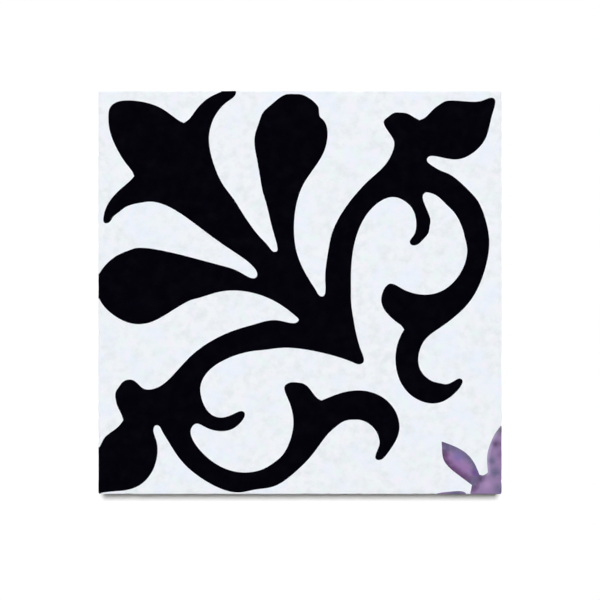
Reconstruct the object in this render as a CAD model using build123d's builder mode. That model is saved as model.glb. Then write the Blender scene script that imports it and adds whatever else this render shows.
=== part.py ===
"""Handmade cement tile: one pressed square slab, lying face up."""

import os

from build123d import *

# Driving dimensions in millimetres
SIDE = 200.0  # edge to edge across the face
THICKNESS = 16.0  # back to face
CORNER_RADIUS = 1.2  # upright corners, as the press frame leaves them
FACE_ARRIS = 0.6  # rounded edge round the decorated face
BACK_ARRIS = 0.8  # chamfer round the plain back

with BuildPart() as cement_tile:
    with BuildSketch():
        RectangleRounded(SIDE, SIDE, CORNER_RADIUS)
    extrude(amount=THICKNESS)
    fillet(cement_tile.faces().sort_by(Axis.Z)[-1].edges(), radius=FACE_ARRIS)
    chamfer(cement_tile.faces().sort_by(Axis.Z)[0].edges(), length=BACK_ARRIS)

cement_tile.part.label = "cement_tile"

os.makedirs("parts", exist_ok=True)
export_step(cement_tile.part, "parts/cement_tile.step")
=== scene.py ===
"""Dresses the cement tile: white cement with a flush black palmette and a purple flower in one corner."""

import math
import random

import bpy
import numpy as np
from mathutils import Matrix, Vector, kdtree, noise
from mathutils.geometry import delaunay_2d_cdt


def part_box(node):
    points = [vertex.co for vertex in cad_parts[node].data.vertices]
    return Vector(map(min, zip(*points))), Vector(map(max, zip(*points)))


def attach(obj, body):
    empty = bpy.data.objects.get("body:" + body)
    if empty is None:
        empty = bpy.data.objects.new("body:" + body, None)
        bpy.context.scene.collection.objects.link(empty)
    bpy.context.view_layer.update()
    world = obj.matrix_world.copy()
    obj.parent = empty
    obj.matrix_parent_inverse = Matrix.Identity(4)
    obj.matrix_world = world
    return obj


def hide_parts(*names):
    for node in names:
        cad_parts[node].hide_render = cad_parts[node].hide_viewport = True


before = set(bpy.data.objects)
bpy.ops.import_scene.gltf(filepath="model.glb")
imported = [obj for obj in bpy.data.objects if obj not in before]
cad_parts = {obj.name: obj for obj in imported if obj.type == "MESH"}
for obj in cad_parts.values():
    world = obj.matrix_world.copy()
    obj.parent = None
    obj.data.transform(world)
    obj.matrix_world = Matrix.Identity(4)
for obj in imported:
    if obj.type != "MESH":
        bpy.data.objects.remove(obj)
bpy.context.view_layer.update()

# Sizes are in millimetres until the mesh is written; the tile's own size comes from the frame
MM = 0.001
NODE = "cement_tile"
LOW, HIGH = (np.array(corner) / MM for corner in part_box(NODE))
SIDE = float(HIGH[0] - LOW[0])
THICKNESS = float(HIGH[2] - LOW[2])
CORNER_RADIUS = 1.2  # upright corners
FACE_ARRIS = 0.6  # rounded edge round the face
BACK_ARRIS = 0.8  # chamfer round the back

# How finely the mesh follows the tile
OUTLINE_STEP = 0.5  # along the coloured fields' outlines and the tile's edge
SPAN_POWER = 0.75  # of the gaps between an outline's points; keeps tight tips round
FACE_STEP = 2.0  # between the points inside the face
FLOWER_STEP = 0.7  # between the points inside the flower, whose tones they carry
BACK_STEP = 4.0  # between the points inside the back
CLEAR_OF_LINES = 0.4  # a point inside a surface keeps this share of its step from every outline
ARRIS_ROWS = 4
SIDE_ROWS = 14
CORNER_POINTS = 4
MERGE = 1e-5  # points nearer than this are one
INSIDE_LOOPS = 1  # output of the triangulation that leaves out what lies outside every loop
SHARP_ANGLE = math.radians(38)

# Order of the loops that split the face, with the flower's after the figure, and of the tile's materials
EDGE_LOOP, FIGURE_LOOP = 0, 1
WHITE_FIELD, BLACK_FIELD, PURPLE_FIELD = 0, 1, 2

# Unevenness of the pressed slab
FACE_WAVE = 0.10  # depth of the face's slow hollows
FACE_WAVE_LENGTH = 34.0
EDGE_WAVE = 0.22  # how far the edge wanders inwards
EDGE_WAVE_LENGTH = 5.0
EDGE_WAVE_STRETCH = 3.0  # the edge's waves run this much further down the side than along it
EDGE_GRAIN = 0.08
EDGE_GRAIN_LENGTH = 1.3
BACK_GRAIN = 0.18
BACK_GRAIN_LENGTH = 7.0
CHIPS = 26  # small nicks along the face's edge
CHIP_LENGTH = (0.8, 2.4)
CHIP_DEPTH = (0.15, 0.5)
CHIP_DROP = 0.3  # share of a nick's depth that the face's edge sinks by
EDGE_REACH = 1.6  # how far down the side the face's hollows and nicks run
SEED = 11

# Outline of the black figure: millimetres right and down from the face's upper left corner. Each stretch is
# one smooth curve, and two stretches meet in a notch. Where the tile's edge cuts the figure, the points go
# on past the edge.
FIGURE = {
    "crown's left lobe": [
        (42.5, 16.2), (40.4, 15.2), (34, 10.6), (26, 6.7), (12, 5.2), (7.9, 6.6), (5.9, 8.9), (5.3, 13),
        (6, 20), (14.1, 36.2), (17.2, 40.3), (18.1, 42.5),
    ],
    "crown's lower side and left drop's upper side": [
        (18.1, 42.5), (15.3, 45.4), (12.1, 48.1), (5.1, 56.1), (2.8, 63.3), (3.2, 65.4), (5.4, 65.2),
        (7.1, 62.8), (10.1, 60.2), (14, 57.4), (22, 55.3), (26, 54.9), (34, 56.9), (61.8, 76),
        (78.9, 90.5), (78.6, 92.3), (77.2, 93.1), (70, 89.9), (60, 86.5), (18.4, 78.2), (16, 79),
        (10, 81.5), (3.2, 87.2), (-0.8, 93.3),
    ],
    "left drop's lower side, left arm and its nub": [
        (-0.6, 100), (3, 106.6), (14.5, 114.6), (22.5, 115.4), (30, 112.8), (46, 103.6), (50, 102.5),
        (62, 99.2), (86, 103.4), (98.1, 111.7), (99.5, 113.6), (98.2, 115), (89, 113.9), (78, 115.7),
        (66, 119.4), (46, 131.6), (32, 145.7), (26, 148.1), (22, 147.4), (17.2, 143.5), (12.3, 144.4),
        (10.2, 147.2), (9, 149), (9.7, 156), (11.7, 160.2), (12.7, 163.2),
    ],
    "left leaf's upper side": [
        (12.7, 163.2), (10, 166.6), (3.5, 171.8), (1.8, 174.8), (-1, 179.5),
    ],
    "left leaf, left scroll's outer side and tail": [
        (-1, 199.9), (3, 198.8), (17, 196.9), (26.8, 188.3), (28.9, 174), (27.3, 168), (28.3, 165.8),
        (30.1, 165.8), (31.6, 168), (34.9, 173.6), (41.8, 183.7), (60, 196.6), (70, 198.8), (78, 197.4),
        (87.1, 195.8), (97, 189.2), (106, 180.1), (114.1, 169.5), (117, 166.9), (122, 163.5),
        (127, 162.8), (130, 163), (136.8, 167.2), (139.5, 174), (138.8, 177.3), (137.7, 182.3),
        (139.8, 182.7), (142.7, 180.2), (147.9, 172), (149.1, 166), (147.2, 159), (142, 152.8),
        (135, 149.4), (128, 148.6), (120, 150), (110.7, 153.6),
    ],
    "left scroll's inner side, both arms' inner sides and hooks": [
        (110.7, 153.6), (108.4, 152.3), (102.7, 145.8), (99, 144.7), (94.8, 144.8), (92.6, 146.4),
        (94.1, 152.4), (96.8, 166), (91.4, 180.6), (88.1, 183.6), (82, 187.4), (70, 189.1), (54.1, 181.8),
        (45.7, 169), (46.6, 166.2), (48.6, 164.8), (54, 166.9), (62, 168.5), (68.8, 165.9), (72.5, 159.8),
        (71.6, 158.9), (70, 159), (63, 161.8), (55.7, 160.2), (50.5, 148), (52.1, 142.2), (57.7, 136.1),
        (75, 129.1), (82, 128.3), (93.5, 127.2), (126.4, 134.5), (129.3, 135.4), (131.2, 134.5),
        (130, 128.5), (126.3, 113), (125.2, 105), (125.1, 98), (125.5, 84), (133.8, 60.1), (146, 52.6),
        (152.1, 54.8), (156.5, 59.9), (156.4, 71.8), (154.5, 74.6), (154.9, 76), (157.4, 76.4),
        (161.1, 73.4), (163.5, 70.2), (164.1, 67), (164.4, 64), (160.8, 51.6), (162.4, 50.2),
    ],
    "right scroll's inner side and nub": [
        (162.4, 50.2), (165.3, 50.8), (169, 52.9), (172.8, 56.6), (176.6, 60.5), (180.9, 69.3),
        (181.8, 73), (182.9, 78.6), (180.7, 88.2), (174.7, 96.3), (166, 100.8), (151, 98.5),
        (144.4, 95.8), (140.7, 101), (141.1, 107), (147, 113.8), (150.5, 116.6), (151.7, 118.3),
    ],
    "right tail, right scroll's outer side and right leaf": [
        (151.7, 118.3), (148.9, 124), (147.4, 133), (149.4, 143.1), (155.6, 151.2), (165.5, 154.8),
        (175, 151.1), (180.2, 143.3), (179.2, 142.7), (176, 144.1), (172.2, 145.5), (169.3, 145),
        (166.2, 144.3), (160.9, 140.5), (158.4, 134), (161.5, 123.7), (169.1, 117.4), (179.1, 109.6),
        (186.7, 100.1), (193.5, 77.5), (192.5, 67), (188.2, 55.2), (183.7, 49.8), (174, 41.6),
        (169.9, 39.9), (164.9, 37), (162.7, 34.7), (163.3, 32.9), (175, 33.9), (184.3, 31.6),
        (191.5, 24.1), (195, 12), (196.1, 4.2), (194.5, 3.7), (191, 4.9), (185, 5.7), (172.2, 5.4),
        (170, 6.5), (166, 9.5), (162, 13.5), (159.1, 14.8),
    ],
    "right nub, right arm's outer side and upper drop's right side": [
        (159.1, 14.8), (156, 13.1), (153, 11.5), (149, 11), (147, 11.1), (143.4, 13.4), (141.6, 15.3),
        (145.9, 23.3), (146.8, 27), (142.6, 36.4), (133.9, 44.8), (117.1, 67.7), (114.1, 79.5),
        (112.6, 92), (112.7, 99), (111.7, 101.9), (109.8, 101.8), (108, 99.4), (104.6, 94), (99.2, 83.2),
        (96.9, 70), (101.3, 46.9), (112.1, 29.3), (112.4, 16.1), (109.7, 13.1),
    ],
    "upper drop's left side and crown's right side": [
        (109.7, 13.1), (109.3, 11), (109.1, 8.7), (101, 2.2), (97.5, 1.9), (93, 2.1), (85.7, 7.2),
        (81.7, 11.1), (79.8, 16), (78.1, 21), (77.6, 26), (79.3, 36.5), (81.9, 50.8), (83.2, 55),
        (86.5, 68.4), (88.9, 77.2), (88.7, 79.6), (87.1, 80), (84.3, 77.2), (79.8, 72.3), (71.7, 61.2),
        (66.3, 52.8), (61.3, 45.9), (54.8, 25.5), (55.3, 19.3), (57.4, 13.3), (63.6, 5.7), (67.6, 2.5),
        (68.1, 0.5), (66.4, -0.8), (62, 0.3), (54.2, 4.2), (48.3, 10.1), (45.2, 14.2), (42.5, 16.2),
    ],
}
PIGMENT_SPREAD = 0.15  # the black pigment runs this far past its outline

# Outlines of the purple flower's two pieces, which the tile's right and lower edges cut
FLOWER = {
    "disc's left edge": [(184, 201), (184.6, 198), (185.1, 195.3)],
    "petal's lower edge": [
        (185.1, 195.3), (180.1, 191.6), (173.8, 186.5), (171.1, 182.8), (170.3, 178.2), (170.1, 173.7),
    ],
    "petal's upper edge": [(170.1, 173.7), (177.1, 176.4), (182.2, 179.5), (185.9, 183.8), (188.8, 190.1)],
    "disc's upper edge": [(188.8, 190.1), (190.6, 190.5), (193, 189)],
    "half petal's edge": [
        (193, 189), (192.7, 185.2), (192.7, 180.4), (194.5, 174.1), (196.5, 169.9), (198.8, 166.8),
        (201, 163.9),
    ],
    "past the corner": [(201, 163.9), (201, 201)],
}
SLIVER = {
    "lower petal's edge": [
        (164, 201), (168, 199.4), (174, 198.6), (178, 198.3), (181.4, 198.8), (183.4, 201),
    ],
}
FLOWER_CORNER = (162, 160)  # upper left corner of the square that holds the flower

# Colours, as they look on screen, from 0 to 255
WHITE = (239, 242, 246)
WHITE_GREY = (227, 232, 236)
WHITE_BLUE = (233, 240, 252)
WHITE_MINT = (233, 244, 243)
WHITE_PINK = (244, 239, 247)
BLACK = (1, 0, 7)
BLACK_WORN = (6, 5, 13)
MORTAR = (158, 155, 149)
MORTAR_DARK = (122, 119, 113)
MORTAR_LIGHT = (186, 183, 176)
MAUVE = (144, 120, 163)
PLUM = (92, 58, 102)
DARK_PLUM = (80, 62, 98)
SLATE = (98, 94, 126)
ASH = (104, 98, 114)
VIOLET = (106, 74, 142)
BLUE_VIOLET = (120, 106, 164)
LILAC = (150, 111, 166)
PURPLE = (120, 95, 141)
PINK_MAUVE = (164, 136, 180)
PALE_LILAC = (168, 153, 187)

# The purple cement is streaky: tones along the petals' rims with their widths, and soft blots, each with its
# place right and down, radius and tone
RIMS = {
    "petal's upper edge": (SLATE, 3.8),
    "petal's lower edge": (PLUM, 4.2),
    "half petal's edge": (PALE_LILAC, 1.8),
}
BLOTS = [
    (171.6, 176.4, 2.4, SLATE),
    (178.4, 181.6, 2.6, BLUE_VIOLET),
    (174.3, 181.7, 1.3, LILAC),
    (177.9, 184.5, 1.8, LILAC),
    (181.6, 186.6, 2.6, LILAC),
    (186.6, 189.4, 1.8, VIOLET),
    (185.6, 194.0, 2.4, SLATE),
    (189.6, 192.4, 1.8, DARK_PLUM),
    (192.6, 195.0, 2.4, PINK_MAUVE),
    (199.2, 197.4, 2.8, SLATE),
    (196.8, 189.0, 2.4, SLATE),
    (197.0, 174.8, 1.7, DARK_PLUM),
    (200.6, 174.8, 1.3, DARK_PLUM),
    (199.6, 180.0, 2.2, PURPLE),
    (195.1, 183.3, 1.7, SLATE),
    (199.4, 168.0, 2.4, ASH),
    (177.5, 200.0, 4.0, SLATE),
]

# Patterns in the cement: repeats a metre, the noise's levels, and the values that they stand for
GREY_CLOUDS = {"scale": 230, "low": 0.42, "high": 0.68, "detail": 4.0, "rough": 0.6}
BLUE_CLOUDS = {"scale": 90, "low": 0.45, "high": 0.65, "end": 0.7, "detail": 2.0}
MINT_CLOUDS = {"scale": 160, "low": 0.52, "high": 0.68, "end": 0.6}
PINK_CLOUDS = {"scale": 180, "low": 0.54, "high": 0.68, "end": 0.6}
WHITE_SAND = {"scale": 1100, "low": 0.62, "high": 0.75, "end": 0.5, "detail": 2.0, "rough": 0.7}
WORN_CLOUDS = {"scale": 140, "low": 0.45, "high": 0.75, "detail": 4.0, "rough": 0.65}
PURPLE_MOTTLE = {"scale": 420, "low": 0.5, "high": 0.75, "end": 0.3, "rough": 0.6}
MORTAR_LUMPS = {"scale": 110, "low": 0.3, "high": 0.7, "detail": 6.0, "rough": 0.72}
MORTAR_SAND = {"scale": 900, "low": 0.5, "high": 0.68, "detail": 4.0, "rough": 0.7}
DULL_PATCHES = {"scale": 260, "low": 0.3, "high": 0.7, "start": -0.08, "end": 0.1}
FINE_GRAIN = {"scale": 1400, "rough": 0.6}
COARSE_GRAIN = {"scale": 330, "end": 0.7}

# Depth of the pigmented cement on the sides, and the bump of the mortar and of the face
PIGMENT_DEPTH = 3.2
PIGMENT_BLUR = 0.5
PIGMENT_BORDER = {"scale": 120, "low": 0.3, "high": 0.7, "start": -1.2 * MM, "end": 1.2 * MM, "detail": 4.0}
BUMP_DEPTH = 0.16
MORTAR_BUMP = 1.0
FACE_BUMP = 0.22

# The mix node's sockets for colours, which share their names with its sockets for numbers
MIX_COLOURS = (6, 7)
MIX_RESULT = 2

# Specular level and roughness of each cement
WHITE_SHINE, WHITE_ROUGH = 0.25, 0.62
BLACK_SHINE, BLACK_ROUGH = 0.04, 0.9
PURPLE_SHINE, PURPLE_ROUGH = 0.2, 0.62

# Places on the texture map: lower left corner and width of each part
FACE_PLACE = (0.01, 0.01, 0.66)
BACK_PLACE = (0.69, 0.01, 0.30)
STRIP_PLACE = (0.01, 0.70, 0.66)
STRIP_PITCH = 0.07
UPRIGHT_BIAS = 0.9  # below 1, so that the back's chamfer belongs to the sides

# Camera, floor and light
LENS = 85.0
SENSOR = 36.0
FRAME_WIDTH = 297.0  # millimetres across the picture at the face
FRAME_DROP = 3.7  # the tile stands this far above the picture's middle
FLOOR_REACH = 60.0  # metres
FLOOR_COLOUR = 0.95
FLOOR_GLOW = 0.07
SUN_HEIGHT = math.radians(75)
SUN_SPREAD = math.radians(14)
SKY_FALL = 4.0  # power by which the sky dims from the horizon up
SKY_SHARE = 2 / ((SKY_FALL + 1) * (SKY_FALL + 2))  # of the light on the face; the sun gives the rest


def on_face(point):
    """Turns millimetres right and down from the face's corner into the tile's own x and y."""
    return point[0] - SIDE / 2, SIDE / 2 - point[1]


def smooth_curve(points):
    """Samples the natural cubic spline through the points, without its last point."""
    knots = np.array(points, float)
    gaps = np.linalg.norm(np.diff(knots, axis=0), axis=1)
    spans = gaps**SPAN_POWER
    last = len(knots) - 1
    system = np.eye(last + 1)
    bends = np.zeros((last + 1, 2))
    for i in range(1, last):
        system[i, i - 1 : i + 2] = spans[i - 1], 2 * (spans[i - 1] + spans[i]), spans[i]
        bends[i] = 6 * ((knots[i + 1] - knots[i]) / spans[i] - (knots[i] - knots[i - 1]) / spans[i - 1])
    curving = np.linalg.solve(system, bends)
    places = []
    for i in range(last):
        count = max(1, round(gaps[i] / OUTLINE_STEP))
        for share in np.arange(count) / count:
            rest = 1 - share
            straight = rest * knots[i] + share * knots[i + 1]
            bow = (rest**3 - rest) * curving[i] + (share**3 - share) * curving[i + 1]
            places.append(straight + bow * spans[i] ** 2 / 6)
    return places


def outline(stretches):
    """Joins the stretches into one loop of points in the tile's x and y, running anticlockwise."""
    starts = [points[0] for points in stretches.values()]
    loop = []
    for points in stretches.values():
        loop += smooth_curve(points)
        if points[-1] not in starts:
            loop.append(points[-1])
    loop = np.array([on_face(p) for p in loop])
    ahead = np.roll(loop, -1, axis=0)
    area = np.sum(loop[:, 0] * ahead[:, 1] - loop[:, 1] * ahead[:, 0])
    return loop if area > 0 else loop[::-1]


def spread(loop, reach):
    """Moves an anticlockwise loop outwards."""
    along = np.roll(loop, -1, axis=0) - np.roll(loop, 1, axis=0)
    along /= np.linalg.norm(along, axis=1)[:, None]
    return loop + reach * np.stack([along[:, 1], -along[:, 0]], axis=1)


def rounded_square(inset):
    """Points round the tile at a distance inside its sides, anticlockwise."""
    core = SIDE / 2 - CORNER_RADIUS
    radius = CORNER_RADIUS - inset
    count = round(2 * core / OUTLINE_STEP)
    loop = []
    for quarter in range(4):
        turn = quarter * math.pi / 2
        ahead = np.array([math.cos(turn), math.sin(turn)])
        aside = np.array([-math.sin(turn), math.cos(turn)])
        for angle in np.linspace(0, math.pi / 2, CORNER_POINTS + 1):
            outward = math.cos(angle) * ahead + math.sin(angle) * aside
            loop.append(core * (ahead + aside) + radius * outward)
        start = loop[-1]
        loop += [start - ahead * 2 * core * k / count for k in range(1, count)]
    return np.array(loop)


def grid_points(low, high, step):
    """Points in rows between two corners, every other row moved by half a step."""
    rows = np.arange(low[1], high[1], step)
    columns = np.arange(low[0], high[0], step)
    return [(x + step / 2 * (j % 2), y) for j, y in enumerate(rows) for x in columns]


def loose_points(loops, grids):
    """The points of each grid, given as corners and step, that keep clear of the loops."""
    places = [point for loop in loops for point in loop]
    tree = kdtree.KDTree(len(places))
    for i, (x, y) in enumerate(places):
        tree.insert((x, y, 0), i)
    tree.balance()
    kept = []
    for low, high, step in grids:
        clear = step * CLEAR_OF_LINES
        kept += [(x, y) for x, y in grid_points(low, high, step) if tree.find((x, y, 0))[2] > clear]
    return kept


def split_surface(loops, grids):
    """Triangles that follow every loop, and for each one the loops it lies in."""
    points, rings = [], []
    for loop in loops:
        rings.append(list(range(len(points), len(points) + len(loop))))
        points += [Vector(p) for p in loop]
    points += [Vector(p) for p in loose_points(loops, grids)]
    places, _, triangles, _, _, owners = delaunay_2d_cdt(points, [], rings, INSIDE_LOOPS, MERGE, True)
    return np.array([tuple(p) for p in places]), triangles, owners


def swing(x, y, z, length):
    """Smooth seeded unevenness from 0 to 1."""
    return 0.5 + 0.5 * noise.noise(Vector((x, y, z)) / length + Vector((SEED, SEED, SEED)))


def field_of(owners):
    """The coloured field of a triangle of the face, from the loops it lies in."""
    if FIGURE_LOOP in owners:
        return BLACK_FIELD
    return PURPLE_FIELD if max(owners) > FIGURE_LOOP else WHITE_FIELD


def face_patch():
    """The face: its points, its triangles and the coloured field of each triangle."""
    figure = spread(outline(FIGURE), PIGMENT_SPREAD)
    fields = [rounded_square(FACE_ARRIS), figure, outline(FLOWER), outline(SLIVER)]
    left, top = on_face(FLOWER_CORNER)
    reach = SIDE / 2 - FACE_ARRIS
    grids = [
        ((left, -reach), (reach, top), FLOWER_STEP), ((-reach, -reach), (left, reach), FACE_STEP),
        ((left, top), (reach, reach), FACE_STEP),
    ]
    flat, triangles, owners = split_surface(fields, grids)
    kept = [(t, field_of(o)) for t, o in zip(triangles, owners) if EDGE_LOOP in o]
    used = sorted({v for t, _ in kept for v in t})
    number = {v: i for i, v in enumerate(used)}
    points = [(x, y, THICKNESS - FACE_WAVE * swing(x, y, 0, FACE_WAVE_LENGTH)) for x, y in flat[used]]
    return points, [[number[v] for v in t] for t, _ in kept], [field for _, field in kept]


def ring_of(triangles):
    """The outer ring of a patch of anticlockwise triangles."""
    sides = {(t[i], t[i - 2]) for t in triangles for i in range(3)}
    follow = {a: b for a, b in sides if (b, a) not in sides}
    ring = [min(follow)]
    while follow[ring[-1]] != ring[0]:
        ring.append(follow[ring[-1]])
    return ring


def nicks(flat):
    """How deep the edge is nicked at each point of the ring."""
    steps = np.linalg.norm(np.roll(flat, -1, axis=0) - flat, axis=1)
    along = np.cumsum(steps) - steps
    draw = random.Random(SEED)
    depths = np.zeros(len(flat))
    for _ in range(CHIPS):
        middle = draw.uniform(0, float(steps.sum()))
        half = draw.uniform(*CHIP_LENGTH)
        depth = draw.uniform(*CHIP_DEPTH)
        depths += depth * np.clip(1 - ((along - middle) / half) ** 2, 0, None)
    return depths


def near_face(height):
    """How much of the face's hollows and nicks a height on the side still has."""
    return max(0.0, 1 - (THICKNESS - height) / EDGE_REACH)


def edge_place(foot, outward, nick, inset, height):
    """Where a point of the worn edge lies, at a distance inside the side and a height."""
    wave = EDGE_WAVE * swing(*foot, height / EDGE_WAVE_STRETCH, EDGE_WAVE_LENGTH)
    grain = EDGE_GRAIN * swing(*foot, height, EDGE_GRAIN_LENGTH)
    return foot + outward * (CORNER_RADIUS - inset - wave - grain - nick * near_face(height))


def profile():
    """Rows from the face's edge down to the back's, as distance inside the side and height."""
    rows = []
    for angle in np.linspace(0, math.pi / 2, ARRIS_ROWS + 1)[1:]:
        rows.append((FACE_ARRIS * (1 - math.sin(angle)), THICKNESS - FACE_ARRIS * (1 - math.cos(angle))))
    for height in np.linspace(THICKNESS - FACE_ARRIS, BACK_ARRIS, SIDE_ROWS + 1)[1:]:
        rows.append((0.0, float(height)))
    rows.append((BACK_ARRIS, 0.0))
    return rows


def add_sides(points, faces, fields):
    """Adds the sides below the face's ring, and returns their lowest row."""
    ring = ring_of(faces)
    beside = {(t[i], t[i - 2]): field for t, field in zip(faces, fields) for i in range(3)}
    ring_fields = [beside[pair] for pair in zip(ring, ring[1:] + ring[:1])]
    flat = np.array([points[v][:2] for v in ring])
    core = SIDE / 2 - CORNER_RADIUS
    feet = np.clip(flat, -core, core)
    outward = (flat - feet) / np.linalg.norm(flat - feet, axis=1)[:, None]
    spots = list(zip(feet, outward, nicks(flat)))
    sags = [THICKNESS - points[v][2] + CHIP_DROP * nick for v, (_, _, nick) in zip(ring, spots)]
    for v, spot, sag in zip(ring, spots, sags):
        points[v] = (*edge_place(*spot, FACE_ARRIS, THICKNESS), THICKNESS - sag)
    above = ring
    for inset, height in profile():
        row = list(range(len(points), len(points) + len(ring)))
        for spot, sag in zip(spots, sags):
            points.append((*edge_place(*spot, inset, height), height - sag * near_face(height)))
        faces += [list(quad) for quad in zip(row, row[1:] + row[:1], above[1:] + above[:1], above)]
        fields += ring_fields
        above = row
    return above


def add_back(points, faces, fields, row):
    """Closes the tile with its back, inside the lowest row."""
    reach = SIDE / 2 - BACK_ARRIS - BACK_STEP / 2
    grids = [((-reach, -reach), (reach, reach), BACK_STEP)]
    flat, triangles, owners = split_surface([[points[v][:2] for v in row]], grids)
    number = row + list(range(len(points), len(points) + len(flat) - len(row)))
    points += [(x, y, BACK_GRAIN * swing(x, y, 0, BACK_GRAIN_LENGTH)) for x, y in flat[len(row) :]]
    back = [[number[v] for v in reversed(t)] for t, o in zip(triangles, owners) if o]
    faces += back
    fields += [WHITE_FIELD] * len(back)


def linear(colour):
    """A screen colour from 0 to 255 as linear light, by the sRGB standard's formula."""
    share = np.array(colour, float) / 255
    return np.where(share <= 0.04045, share / 12.92, ((share + 0.055) / 1.055) ** 2.4)


def purple_tone(point, rims):
    """The streaky purple cement's colour at a point of the face."""
    tone = np.array(MAUVE, float)
    for samples, rim, width in rims:
        away = np.min(np.linalg.norm(samples - point, axis=1)) / width
        tone += (np.array(rim) - tone) * max(0.0, 1 - away**2)
    for right, down, radius, blot in BLOTS:
        away = np.linalg.norm(np.array(on_face((right, down))) - point) / radius
        tone += (np.array(blot) - tone) * math.exp(-(away**2))
    return tone


def paint_purple(mesh, points):
    """Writes the purple cement's tones on the mesh, for its material to read."""
    rims = []
    for name, (rim, width) in RIMS.items():
        rims.append((np.array([on_face(p) for p in smooth_curve(FLOWER[name])]), rim, width))
    left, top = on_face(FLOWER_CORNER)
    tones = mesh.attributes.new("purple_tone", "FLOAT_COLOR", "POINT")
    for spot, (x, y, _) in zip(tones.data, points):
        tone = purple_tone((x, y), rims) if x > left and y < top else MAUVE
        spot.color = (*linear(tone), 1.0)


def read(items, name, width=1):
    """One property of all the items of a mesh, as an array."""
    values = np.empty(len(items) * width, np.float32 if width > 1 else np.int32)
    items.foreach_get(name, values)
    return values.reshape(-1, width) if width > 1 else values


def lay_out(mesh):
    """Lays the mesh flat for textures: the face large, the sides as four strips and the back small."""
    normals = read(mesh.polygons, "normal", 3)
    axis = np.argmax(np.abs(normals) * (1, 1, UPRIGHT_BIAS), axis=1)
    upwards = normals[np.arange(len(axis)), axis] > 0
    corners = read(mesh.polygons, "loop_total")
    axis, upwards = np.repeat(axis, corners), np.repeat(upwards, corners)
    x, y, z = read(mesh.vertices, "co", 3)[read(mesh.loops, "vertex_index")].T / (SIDE * MM)
    across = np.where(axis == 0, y, x) + 0.5
    rise = np.where(axis == 2, y + 0.5, z)
    strip = STRIP_PLACE[1] + STRIP_PITCH * (2 * axis + upwards)
    kinds = [axis < 2, upwards]
    left = np.select(kinds, [STRIP_PLACE[0], FACE_PLACE[0]], BACK_PLACE[0])
    bottom = np.select(kinds, [strip, FACE_PLACE[1]], BACK_PLACE[1])
    width = np.select(kinds, [STRIP_PLACE[2], FACE_PLACE[2]], BACK_PLACE[2])
    places = np.stack([left + across * width, bottom + rise * width], axis=1)
    layer = mesh.uv_layers.new(name="OFBake")
    layer.uv.foreach_set("vector", places.astype(np.float32).ravel())


def build_tile(materials):
    """The whole tile as one closed mesh; each face takes the material of its coloured field."""
    points, faces, fields = face_patch()
    lowest = add_sides(points, faces, fields)
    add_back(points, faces, fields, lowest)
    mesh = bpy.data.meshes.new("patterned_tile")
    mesh.from_pydata((np.array(points) * MM).tolist(), [], faces)
    for material in materials:
        mesh.materials.append(material)
    mesh.polygons.foreach_set("material_index", fields)
    mesh.polygons.foreach_set("use_smooth", [True] * len(faces))
    mesh.update()
    mesh.set_sharp_from_angle(angle=SHARP_ANGLE)
    paint_purple(mesh, points)
    lay_out(mesh)
    tile = bpy.data.objects.new("patterned_tile", mesh)
    bpy.context.collection.objects.link(tile)
    return tile


def add_node(tree, kind, **values):
    """A new node with some of its inputs or properties set."""
    node = tree.nodes.new(kind)
    for name, value in values.items():
        label = name.replace("_", " ")
        if label in node.inputs:
            node.inputs[label].default_value = value
        else:
            setattr(node, name, value)
    return node


def between(tree, value, low, high, start=0.0, end=1.0):
    """Maps a value from low and high to start and end, held at both ends."""
    node = add_node(tree, "ShaderNodeMapRange")
    tree.links.new(value, node.inputs["Value"])
    for name, number in (("From Min", low), ("From Max", high), ("To Min", start), ("To Max", end)):
        node.inputs[name].default_value = number
    return node.outputs["Result"]


def cloud(tree, where, scale, low=0.0, high=1.0, start=0.0, end=1.0, detail=3.0, rough=0.55):
    """Noise with this many repeats a metre, whose levels from low to high stand for start to end."""
    pattern = add_node(tree, "ShaderNodeTexNoise", Scale=scale, Detail=detail, Roughness=rough)
    tree.links.new(where, pattern.inputs["Vector"])
    return between(tree, pattern.outputs["Fac"], low, high, start, end)


def blend(tree, share, first, second):
    """Mixes two colours, each a socket or a screen colour."""
    node = add_node(tree, "ShaderNodeMix", data_type="RGBA")
    tree.links.new(share, node.inputs["Factor"])
    for number, colour in zip(MIX_COLOURS, (first, second)):
        if isinstance(colour, tuple):
            node.inputs[number].default_value = (*linear(colour), 1.0)
        else:
            tree.links.new(colour, node.inputs[number])
    return node.outputs[MIX_RESULT]


def join(tree, first, second, operation="ADD"):
    """Joins two values, the second a socket or a number."""
    node = add_node(tree, "ShaderNodeMath", operation=operation)
    tree.links.new(first, node.inputs[0])
    if isinstance(second, (int, float)):
        node.inputs[1].default_value = second
    else:
        tree.links.new(second, node.inputs[1])
    return node.outputs[0]


def mortar_colour(tree, where):
    """Grey sand and cement under the pigment."""
    grey = blend(tree, cloud(tree, where, **MORTAR_LUMPS), MORTAR_DARK, MORTAR)
    return blend(tree, cloud(tree, where, **MORTAR_SAND), grey, MORTAR_LIGHT)


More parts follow.
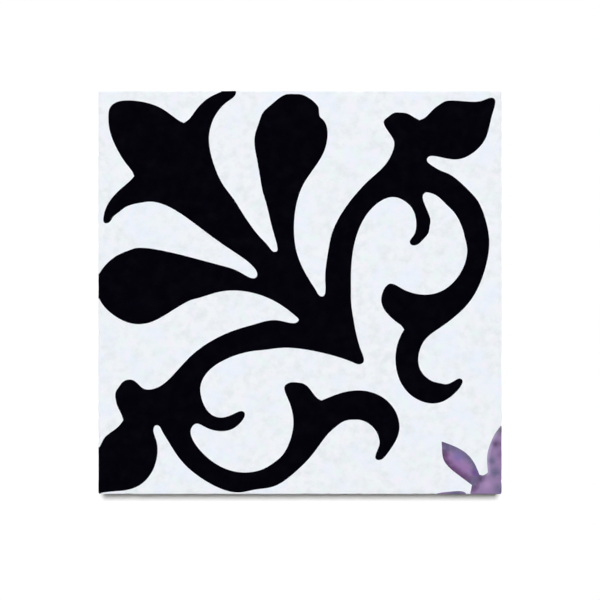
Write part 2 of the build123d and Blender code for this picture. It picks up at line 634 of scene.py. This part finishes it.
def cement(name, pigment, shine, rough):
    """A cement material: the pigment's colour near the face, and grey mortar below it."""
    material = bpy.data.materials.new(name)
    material.use_nodes = True
    tree = material.node_tree
    shader = tree.nodes["Principled BSDF"]
    where = add_node(tree, "ShaderNodeTexCoord").outputs["Object"]
    height = add_node(tree, "ShaderNodeSeparateXYZ")
    tree.links.new(where, height.inputs[0])
    level = join(tree, height.outputs["Z"], cloud(tree, where, **PIGMENT_BORDER))
    border = THICKNESS - PIGMENT_DEPTH
    pigmented = between(tree, level, (border - PIGMENT_BLUR) * MM, (border + PIGMENT_BLUR) * MM)
    colour = blend(tree, pigmented, mortar_colour(tree, where), pigment(tree, where))
    tree.links.new(colour, shader.inputs["Base Color"])
    shader.inputs["Specular IOR Level"].default_value = shine
    tree.links.new(join(tree, cloud(tree, where, **DULL_PATCHES), rough), shader.inputs["Roughness"])
    grain = join(tree, cloud(tree, where, **FINE_GRAIN), cloud(tree, where, **COARSE_GRAIN))
    depth = between(tree, pigmented, 0.0, 1.0, MORTAR_BUMP, FACE_BUMP)
    bump = add_node(tree, "ShaderNodeBump", Distance=BUMP_DEPTH * MM)
    tree.links.new(join(tree, grain, depth, "MULTIPLY"), bump.inputs["Height"])
    tree.links.new(bump.outputs["Normal"], shader.inputs["Normal"])
    return material


def white_pigment(tree, where):
    """White cement with faint grey, blue, green and pink clouds and fine sand."""
    colour = blend(tree, cloud(tree, where, **GREY_CLOUDS), WHITE, WHITE_GREY)
    clouds = ((BLUE_CLOUDS, WHITE_BLUE), (MINT_CLOUDS, WHITE_MINT), (PINK_CLOUDS, WHITE_PINK))
    for pattern, tint in (*clouds, (WHITE_SAND, WHITE_GREY)):
        colour = blend(tree, cloud(tree, where, **pattern), colour, tint)
    return colour


def black_pigment(tree, where):
    """Black cement, a little worn in places."""
    return blend(tree, cloud(tree, where, **WORN_CLOUDS), BLACK, BLACK_WORN)


def purple_pigment(tree, where):
    """Purple cement: the mesh's streaky tones, with a fine mottle."""
    tones = add_node(tree, "ShaderNodeAttribute", attribute_name="purple_tone").outputs["Color"]
    return blend(tree, cloud(tree, where, **PURPLE_MOTTLE), tones, PINK_MAUVE)


def add_floor():
    """A white floor that shows the tile's shadow."""
    reach = FLOOR_REACH
    mesh = bpy.data.meshes.new("floor")
    corners = [(-reach, -reach, 0), (reach, -reach, 0), (reach, reach, 0), (-reach, reach, 0)]
    mesh.from_pydata(corners, [], [(0, 1, 2, 3)])
    material = bpy.data.materials.new("floor")
    material.use_nodes = True
    tree = material.node_tree
    tree.nodes.remove(tree.nodes["Principled BSDF"])
    paint = add_node(tree, "ShaderNodeBsdfDiffuse", Color=(FLOOR_COLOUR, FLOOR_COLOUR, FLOOR_COLOUR, 1.0))
    glow = add_node(tree, "ShaderNodeEmission")
    path = add_node(tree, "ShaderNodeLightPath")
    seen = join(tree, path.outputs["Is Camera Ray"], path.outputs["Is Glossy Ray"], "MAXIMUM")
    seen = join(tree, seen, path.outputs["Is Transmission Ray"], "MAXIMUM")
    tree.links.new(join(tree, seen, FLOOR_GLOW, "MULTIPLY"), glow.inputs["Strength"])
    both = add_node(tree, "ShaderNodeAddShader")
    tree.links.new(paint.outputs[0], both.inputs[0])
    tree.links.new(glow.outputs[0], both.inputs[1])
    tree.links.new(both.outputs[0], tree.nodes["Material Output"].inputs["Surface"])
    mesh.materials.append(material)
    floor = bpy.data.objects.new("floor", mesh)
    bpy.context.collection.objects.link(floor)


def add_light():
    """A lamp from the picture's top, and a sky that is bright low down and dark overhead."""
    lamp = bpy.data.lights.new("key", "SUN")
    lamp.energy = (1 - SKY_SHARE) * math.pi / math.sin(SUN_HEIGHT)
    lamp.angle = SUN_SPREAD
    key = bpy.data.objects.new("key", lamp)
    key.rotation_euler = (SUN_HEIGHT - math.pi / 2, 0, 0)
    bpy.context.collection.objects.link(key)
    world = bpy.data.worlds.new("studio")
    bpy.context.scene.world = world
    world.use_nodes = True
    tree = world.node_tree
    ray = add_node(tree, "ShaderNodeTexCoord").outputs["Generated"]
    height = add_node(tree, "ShaderNodeSeparateXYZ")
    tree.links.new(ray, height.inputs[0])
    level = between(tree, height.outputs["Z"], 0.0, 1.0, 1.0, 0.0)
    tree.links.new(join(tree, level, SKY_FALL, "POWER"), tree.nodes["Background"].inputs["Strength"])
    tree.nodes["Background"].inputs["Color"].default_value = (1, 1, 1, 1)


def add_camera():
    """Looks straight down on the face, with the pattern's top at the picture's top."""
    lens = bpy.data.cameras.new("camera")
    lens.lens = LENS
    lens.sensor_width = SENSOR
    camera = bpy.data.objects.new("camera", lens)
    distance = FRAME_WIDTH * LENS / SENSOR
    camera.location = (0, -FRAME_DROP * MM, (THICKNESS + distance) * MM)
    bpy.context.collection.objects.link(camera)
    bpy.context.scene.camera = camera


bpy.context.scene.view_settings.view_transform = "Standard"
white = cement("white_cement", white_pigment, WHITE_SHINE, WHITE_ROUGH)
black = cement("black_cement", black_pigment, BLACK_SHINE, BLACK_ROUGH)
purple = cement("purple_cement", purple_pigment, PURPLE_SHINE, PURPLE_ROUGH)
tile = build_tile([white, black, purple])
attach(tile, "root")
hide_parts(NODE)
add_floor()
add_light()
add_camera()
